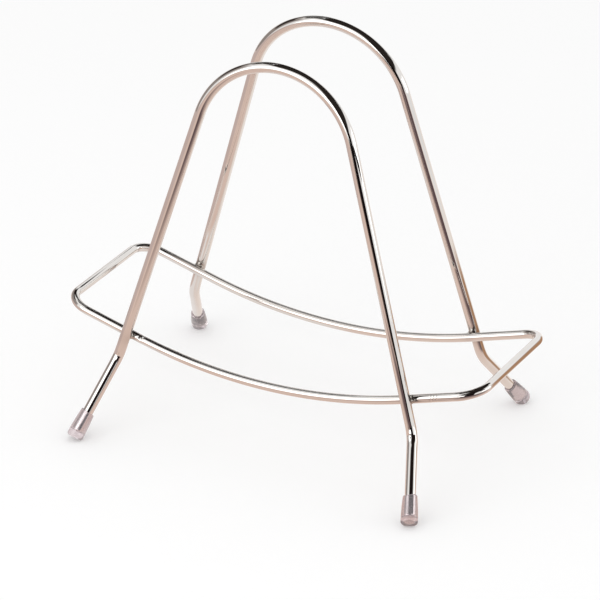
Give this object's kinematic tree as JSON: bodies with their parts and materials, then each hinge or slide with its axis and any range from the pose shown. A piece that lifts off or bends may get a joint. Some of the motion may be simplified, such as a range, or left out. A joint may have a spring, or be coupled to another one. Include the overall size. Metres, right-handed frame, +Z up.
{
  "type": "plate display stand",
  "caption": "Bent chrome wire stand: a pair of leaning arches hold plates upright between them in a sagging wire ring, on splayed legs with soft clear end caps.",
  "frame": {"origin": "on the floor, under the middle of the ring", "axes": "+X along the ring's long side, to the right seen from the front; +Y from the front arch to the rear arch; +Z up"},
  "size_m": [0.208, 0.1399, 0.1854],
  "materials": {
    "chrome_wire": "bright chrome plate on drawn steel wire",
    "weld_metal": "plated weld metal, a little rough",
    "clear_pvc": "soft clear PVC, slightly cloudy"
  },
  "bodies": {
    "root": {"arch_front": "chrome_wire", "arch_rear": "chrome_wire", "cradle_ring": "chrome_wire", "weld_front_left": "weld_metal", "weld_front_right": "weld_metal", "weld_rear_left": "weld_metal", "weld_rear_right": "weld_metal", "foot_cap_front_left": "clear_pvc", "foot_cap_front_right": "clear_pvc", "foot_cap_rear_left": "clear_pvc", "foot_cap_rear_right": "clear_pvc"}
  },
  "joints": []
}
